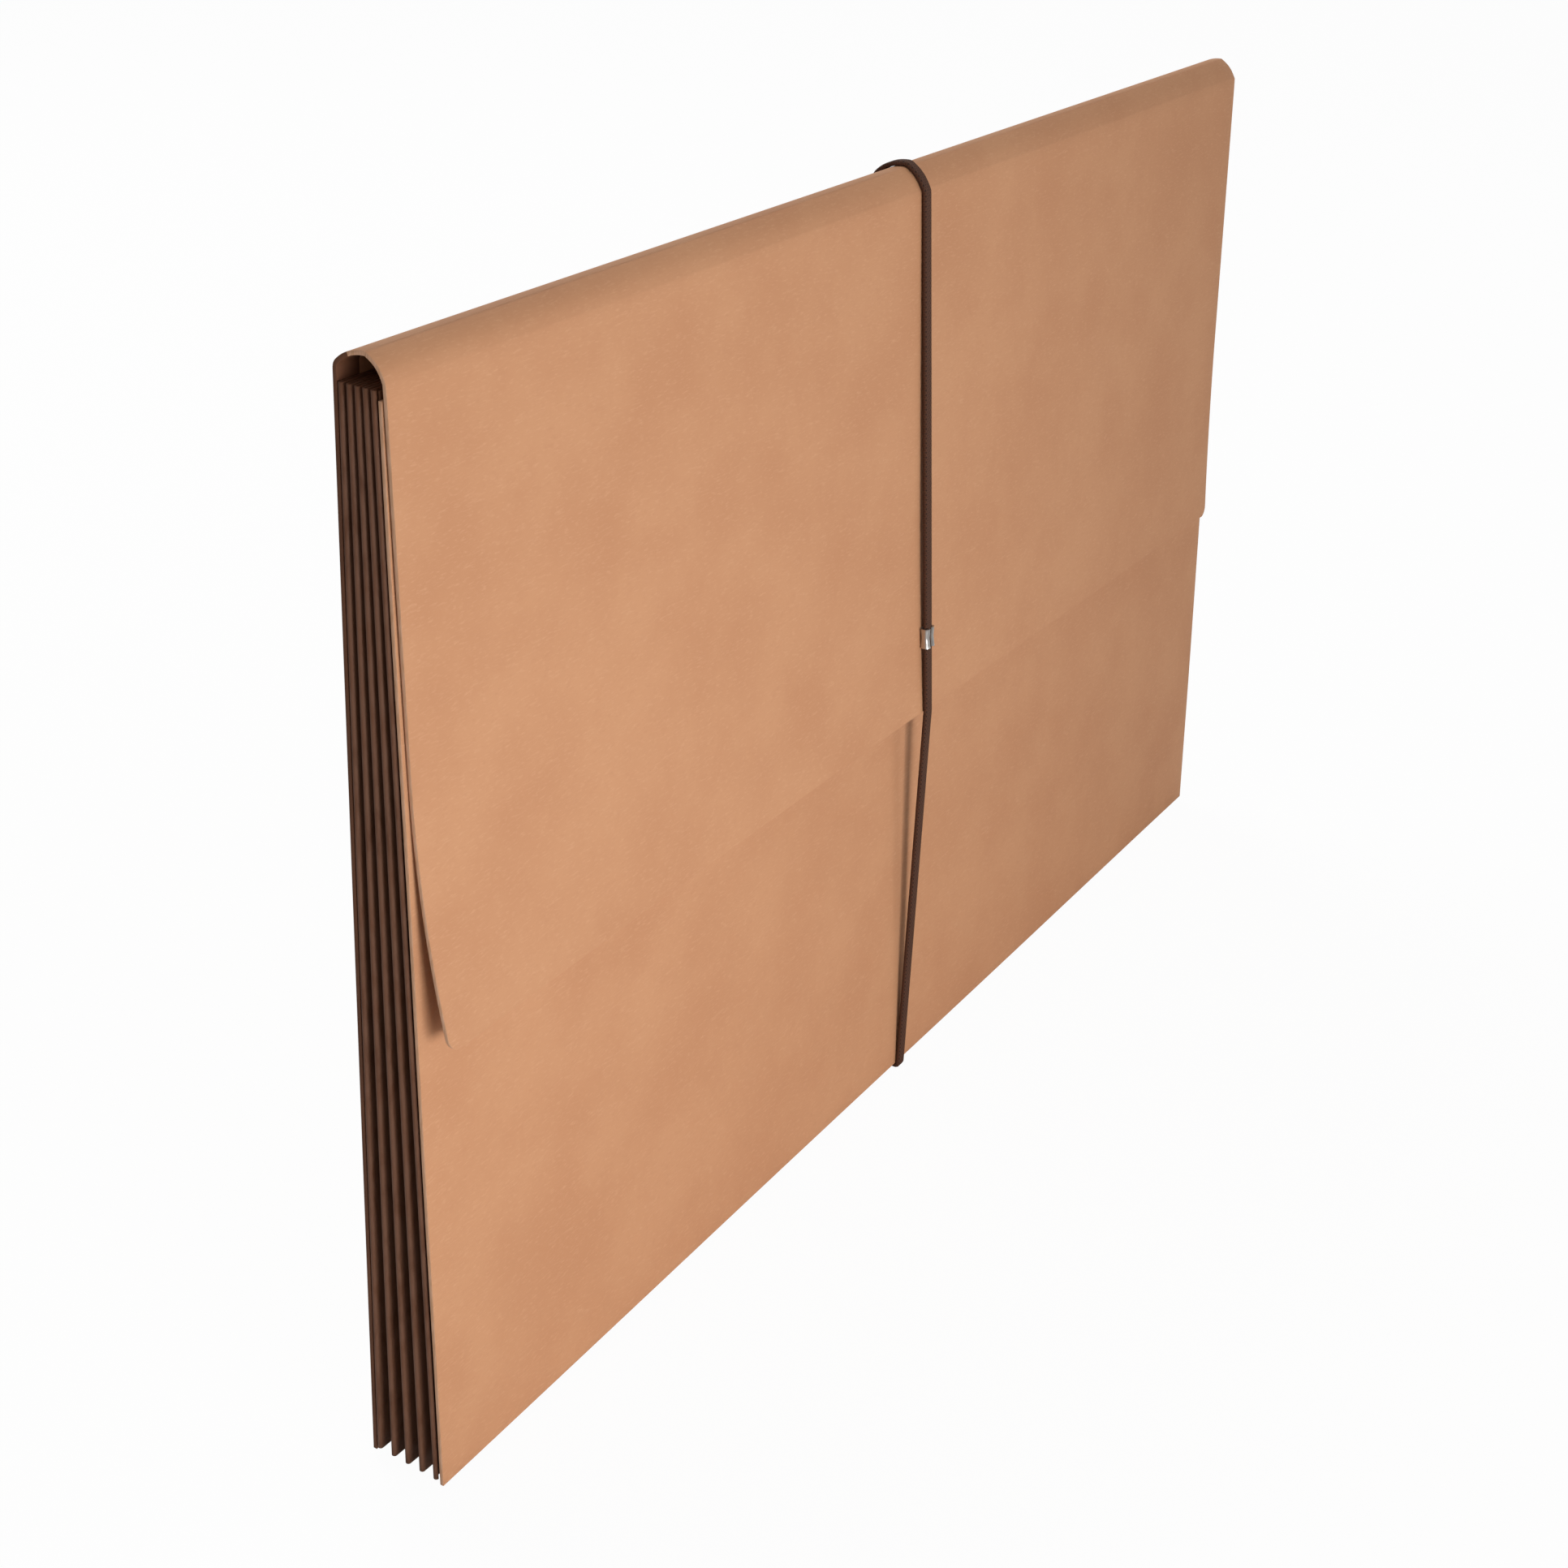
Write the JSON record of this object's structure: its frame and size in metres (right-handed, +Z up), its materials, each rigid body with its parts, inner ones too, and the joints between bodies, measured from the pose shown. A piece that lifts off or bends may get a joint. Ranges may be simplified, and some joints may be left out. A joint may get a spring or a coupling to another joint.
{
  "type": "expanding file pocket",
  "caption": "Expanding file pocket: two kraft boards joined by pleated paper gussets, with a fold-over flap held shut by an elastic loop.",
  "frame": {"origin": "centre of the outer box, on the plane the pocket stands on", "axes": "+X along the width, to the right seen from the front; -Y out of the front board; +Z up, towards the mouth"},
  "size_m": [0.375, 0.025, 0.2487],
  "materials": {
    "kraft_board": "matte paperboard with a fibre mottle",
    "gusset_paper": "matte dark brown paper cloth",
    "elastic_braid": "dark brown braided elastic",
    "clip_steel": "plated steel"
  },
  "bodies": {
    "back": {"back_panel": "kraft_board", "left_gusset_back_tab": "gusset_paper", "right_gusset_back_tab": "gusset_paper", "bottom_gusset_back_tab": "gusset_paper", "elastic_back_run": "elastic_braid", "elastic_top_run": "elastic_braid", "elastic_bottom_run": "elastic_braid"},
    "front": {"front_panel": "kraft_board", "left_gusset_front_tab": "gusset_paper", "right_gusset_front_tab": "gusset_paper", "bottom_gusset_front_tab": "gusset_paper", "elastic_front_run": "elastic_braid", "elastic_clip": "clip_steel"},
    "left_leaf_1": {"left_gusset_leaf_1": "gusset_paper"},
    "left_leaf_2": {"left_gusset_leaf_2": "gusset_paper"},
    "left_leaf_3": {"left_gusset_leaf_3": "gusset_paper"},
    "left_leaf_4": {"left_gusset_leaf_4": "gusset_paper"},
    "left_leaf_5": {"left_gusset_leaf_5": "gusset_paper"},
    "left_leaf_6": {"left_gusset_leaf_6": "gusset_paper"},
    "left_leaf_7": {"left_gusset_leaf_7": "gusset_paper"},
    "left_leaf_8": {"left_gusset_leaf_8": "gusset_paper"},
    "right_leaf_1": {"right_gusset_leaf_1": "gusset_paper"},
    "right_leaf_2": {"right_gusset_leaf_2": "gusset_paper"},
    "right_leaf_3": {"right_gusset_leaf_3": "gusset_paper"},
    "right_leaf_4": {"right_gusset_leaf_4": "gusset_paper"},
    "right_leaf_5": {"right_gusset_leaf_5": "gusset_paper"},
    "right_leaf_6": {"right_gusset_leaf_6": "gusset_paper"},
    "right_leaf_7": {"right_gusset_leaf_7": "gusset_paper"},
    "right_leaf_8": {"right_gusset_leaf_8": "gusset_paper"},
    "bottom_leaf_1": {"bottom_gusset_leaf_1": "gusset_paper"},
    "bottom_leaf_2": {"bottom_gusset_leaf_2": "gusset_paper"},
    "bottom_leaf_3": {"bottom_gusset_leaf_3": "gusset_paper"},
    "bottom_leaf_4": {"bottom_gusset_leaf_4": "gusset_paper"},
    "bottom_leaf_5": {"bottom_gusset_leaf_5": "gusset_paper"},
    "bottom_leaf_6": {"bottom_gusset_leaf_6": "gusset_paper"},
    "bottom_leaf_7": {"bottom_gusset_leaf_7": "gusset_paper"},
    "bottom_leaf_8": {"bottom_gusset_leaf_8": "gusset_paper"},
    "flap_roof": {"flap_roof": "kraft_board"},
    "flap_fold": {"flap_fold": "kraft_board"},
    "flap_front": {"flap_front": "kraft_board"}
  },
  "joints": [
    {"name": "expand", "type": "slide", "parent": "back", "child": "front", "axis": [0, -1, 0], "range_m": [0, 0.069], "deforming": ["elastic_top_run", "elastic_bottom_run"]},
    {"name": "left_crease_1", "type": "hinge", "parent": "back", "child": "left_leaf_1", "pos_m": [-0.187, 0.00914, 0.1222], "axis": [0, 0, -1], "range_deg": [0, 20.8]},
    {"name": "left_crease_2", "type": "hinge", "parent": "left_leaf_1", "child": "left_leaf_2", "pos_m": [-0.16203, 0.00771, 0.1222], "axis": [0.0002, 0.0041, 1], "range_deg": [0, 41.2]},
    {"name": "left_crease_3", "type": "hinge", "parent": "left_leaf_2", "child": "left_leaf_3", "pos_m": [-0.187, 0.00627, 0.1222], "axis": [0, -0.0083, -1], "range_deg": [0, 41.2]},
    {"name": "left_crease_4", "type": "hinge", "parent": "left_leaf_3", "child": "left_leaf_4", "pos_m": [-0.16203, 0.00484, 0.1222], "axis": [0.0002, 0.0124, 0.9999], "range_deg": [0, 41.2]},
    {"name": "left_crease_5", "type": "hinge", "parent": "left_leaf_4", "child": "left_leaf_5", "pos_m": [-0.187, 0.00341, 0.1222], "axis": [0, -0.0166, -0.9999], "range_deg": [0, 41.2]},
    {"name": "left_crease_6", "type": "hinge", "parent": "left_leaf_5", "child": "left_leaf_6", "pos_m": [-0.16203, 0.00197, 0.1222], "axis": [0.0002, 0.0207, 0.9998], "range_deg": [0, 41.2]},
    {"name": "left_crease_7", "type": "hinge", "parent": "left_leaf_6", "child": "left_leaf_7", "pos_m": [-0.187, 0.00054, 0.1222], "axis": [0, -0.0249, -0.9997], "range_deg": [0, 41.2]},
    {"name": "left_crease_8", "type": "hinge", "parent": "left_leaf_7", "child": "left_leaf_8", "pos_m": [-0.16203, -0.00089, 0.1222], "axis": [0.0002, 0.029, 0.9996], "range_deg": [0, 41.2]},
    {"name": "right_crease_1", "type": "hinge", "parent": "back", "child": "right_leaf_1", "pos_m": [0.187, 0.00914, 0.1222], "axis": [0, 0, 1], "range_deg": [0, 20.8]},
    {"name": "right_crease_2", "type": "hinge", "parent": "right_leaf_1", "child": "right_leaf_2", "pos_m": [0.16203, 0.00771, 0.1222], "axis": [0.0002, -0.0041, -1], "range_deg": [0, 41.2]},
    {"name": "right_crease_3", "type": "hinge", "parent": "right_leaf_2", "child": "right_leaf_3", "pos_m": [0.187, 0.00627, 0.1222], "axis": [0, 0.0083, 1], "range_deg": [0, 41.2]},
    {"name": "right_crease_4", "type": "hinge", "parent": "right_leaf_3", "child": "right_leaf_4", "pos_m": [0.16203, 0.00484, 0.1222], "axis": [0.0002, -0.0124, -0.9999], "range_deg": [0, 41.2]},
    {"name": "right_crease_5", "type": "hinge", "parent": "right_leaf_4", "child": "right_leaf_5", "pos_m": [0.187, 0.00341, 0.1222], "axis": [0, 0.0166, 0.9999], "range_deg": [0, 41.2]},
    {"name": "right_crease_6", "type": "hinge", "parent": "right_leaf_5", "child": "right_leaf_6", "pos_m": [0.16203, 0.00197, 0.1222], "axis": [0.0002, -0.0207, -0.9998], "range_deg": [0, 41.2]},
    {"name": "right_crease_7", "type": "hinge", "parent": "right_leaf_6", "child": "right_leaf_7", "pos_m": [0.187, 0.00054, 0.1222], "axis": [0, 0.0249, 0.9997], "range_deg": [0, 41.2]},
    {"name": "right_crease_8", "type": "hinge", "parent": "right_leaf_7", "child": "right_leaf_8", "pos_m": [0.16203, -0.00089, 0.1222], "axis": [0.0002, -0.029, -0.9996], "range_deg": [0, 41.2]},
    {"name": "bottom_crease_1", "type": "hinge", "parent": "back", "child": "bottom_leaf_1", "pos_m": [0, 0.00914, 0.0022], "axis": [1, 0, 0], "range_deg": [0, 20.8]},
    {"name": "bottom_crease_2", "type": "hinge", "parent": "bottom_leaf_1", "child": "bottom_leaf_2", "pos_m": [0, 0.00731, 0.02715], "axis": [-1, 0, 0], "range_deg": [0, 41.2]},
    {"name": "bottom_crease_3", "type": "hinge", "parent": "bottom_leaf_2", "child": "bottom_leaf_3", "pos_m": [0, 0.00528, 0.0022], "axis": [1, 0, 0], "range_deg": [0, 41.2]},
    {"name": "bottom_crease_4", "type": "hinge", "parent": "bottom_leaf_3", "child": "bottom_leaf_4", "pos_m": [0, 0.00366, 0.02715], "axis": [-1, 0, 0], "range_deg": [0, 41.2]},
    {"name": "bottom_crease_5", "type": "hinge", "parent": "bottom_leaf_4", "child": "bottom_leaf_5", "pos_m": [0, 0.00142, 0.0022], "axis": [1, 0, 0], "range_deg": [0, 41.2]},
    {"name": "bottom_crease_6", "type": "hinge", "parent": "bottom_leaf_5", "child": "bottom_leaf_6", "pos_m": [0, 0, 0.02715], "axis": [-1, 0, 0], "range_deg": [0, 41.2]},
    {"name": "bottom_crease_7", "type": "hinge", "parent": "bottom_leaf_6", "child": "bottom_leaf_7", "pos_m": [0, -0.00244, 0.0022], "axis": [1, 0, 0], "range_deg": [0, 41.2]},
    {"name": "bottom_crease_8", "type": "hinge", "parent": "bottom_leaf_7", "child": "bottom_leaf_8", "pos_m": [0, -0.00365, 0.02715], "axis": [-1, 0, 0], "range_deg": [0, 41.2]},
    {"name": "flap_open", "type": "hinge", "parent": "back", "child": "flap_roof", "pos_m": [0, 0.01094, 0.24285], "axis": [-1, 0, 0], "range_deg": [0, 200], "deforming": ["elastic_top_run", "elastic_front_run", "elastic_back_run", "elastic_clip"]},
    {"name": "flap_reach", "type": "slide", "parent": "flap_roof", "child": "flap_fold", "axis": [0, -1, 0], "range_m": [0, 0.0695]},
    {"name": "flap_unfold", "type": "hinge", "parent": "flap_fold", "child": "flap_front", "pos_m": [0, -0.00222, 0.24154], "axis": [-1, 0, 0], "range_deg": [0, 91]}
  ],
  "couplings": [
    {"joint": "left_crease_1", "follows": "expand", "rad_per_m": 5.14},
    {"joint": "left_crease_2", "follows": "expand", "rad_per_m": 10.28},
    {"joint": "left_crease_3", "follows": "expand", "rad_per_m": 10.28},
    {"joint": "left_crease_4", "follows": "expand", "rad_per_m": 10.28},
    {"joint": "left_crease_5", "follows": "expand", "rad_per_m": 10.28},
    {"joint": "left_crease_6", "follows": "expand", "rad_per_m": 10.28},
    {"joint": "left_crease_7", "follows": "expand", "rad_per_m": 10.28},
    {"joint": "left_crease_8", "follows": "expand", "rad_per_m": 10.28},
    {"joint": "right_crease_1", "follows": "expand", "rad_per_m": 5.14},
    {"joint": "right_crease_2", "follows": "expand", "rad_per_m": 10.28},
    {"joint": "right_crease_3", "follows": "expand", "rad_per_m": 10.28},
    {"joint": "right_crease_4", "follows": "expand", "rad_per_m": 10.28},
    {"joint": "right_crease_5", "follows": "expand", "rad_per_m": 10.28},
    {"joint": "right_crease_6", "follows": "expand", "rad_per_m": 10.28},
    {"joint": "right_crease_7", "follows": "expand", "rad_per_m": 10.28},
    {"joint": "right_crease_8", "follows": "expand", "rad_per_m": 10.28},
    {"joint": "bottom_crease_1", "follows": "expand", "rad_per_m": 5.14},
    {"joint": "bottom_crease_2", "follows": "expand", "rad_per_m": 10.28},
    {"joint": "bottom_crease_3", "follows": "expand", "rad_per_m": 10.28},
    {"joint": "bottom_crease_4", "follows": "expand", "rad_per_m": 10.28},
    {"joint": "bottom_crease_5", "follows": "expand", "rad_per_m": 10.28},
    {"joint": "bottom_crease_6", "follows": "expand", "rad_per_m": 10.28},
    {"joint": "bottom_crease_7", "follows": "expand", "rad_per_m": 10.28},
    {"joint": "bottom_crease_8", "follows": "expand", "rad_per_m": 10.28},
    {"joint": "flap_reach", "follows": "expand", "ratio": 1},
    {"joint": "flap_unfold", "follows": "flap_open", "ratio": 0.45}
  ]
}
